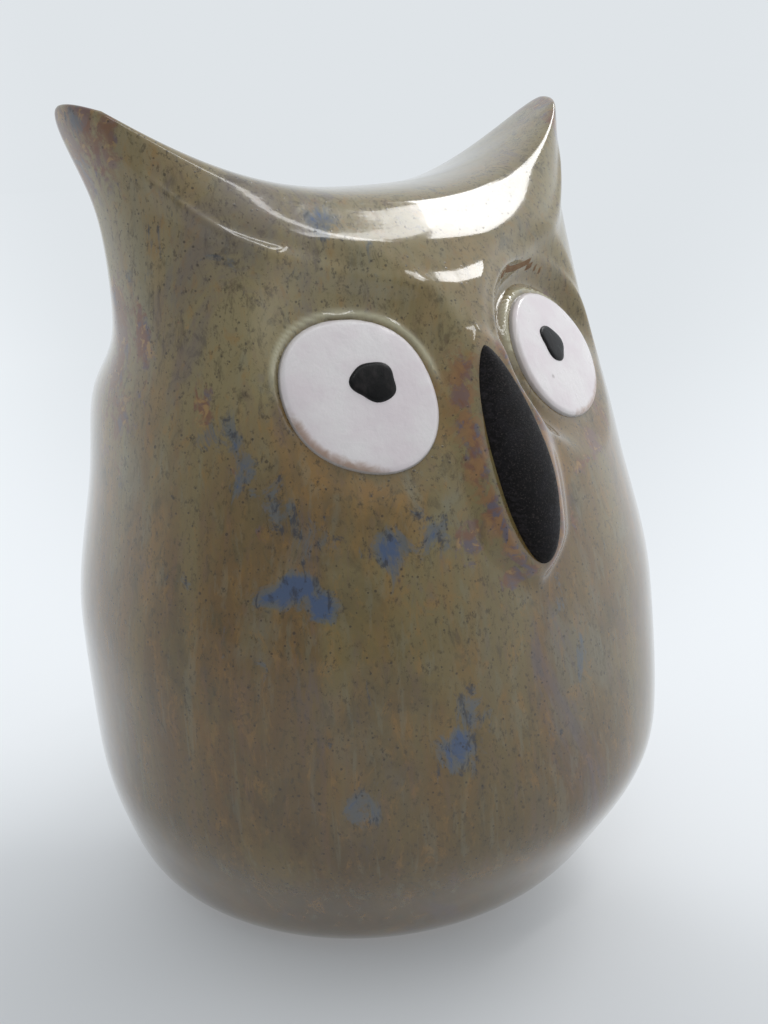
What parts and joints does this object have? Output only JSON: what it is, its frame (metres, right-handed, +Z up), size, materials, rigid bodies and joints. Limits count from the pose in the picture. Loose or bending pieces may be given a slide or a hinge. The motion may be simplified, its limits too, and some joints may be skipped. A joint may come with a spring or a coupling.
{
  "type": "animal coin bank",
  "caption": "Hollow glazed stoneware owl coin bank with pinched ears, socketed eyes, almond beak, coin slot in the back and a pull-out rubber bung underneath.",
  "frame": {"origin": "on the table, under the middle of the bounding box", "axes": "the owl faces -Y, +X toward the owl's own left ear, +Z up"},
  "size_m": [0.092, 0.0914, 0.1194],
  "materials": {
    "glaze": "glossy olive-brown speckled glaze",
    "white_slip": "satin white slip",
    "black_slip": "satin black slip",
    "black_clay": "rough matte black clay",
    "black_rubber": "matte soft rubber"
  },
  "bodies": {
    "owl": {"body": "glaze", "eye_white_right": "white_slip", "eye_white_left": "white_slip", "pupil_right": "black_slip", "pupil_left": "black_slip", "beak": "black_clay"},
    "bung": {"stopper": "black_rubber"}
  },
  "joints": [
    {"name": "bung_pull", "type": "slide", "parent": "owl", "child": "bung", "axis": [0, 0, -1], "range_m": [0, 0.03]}
  ]
}
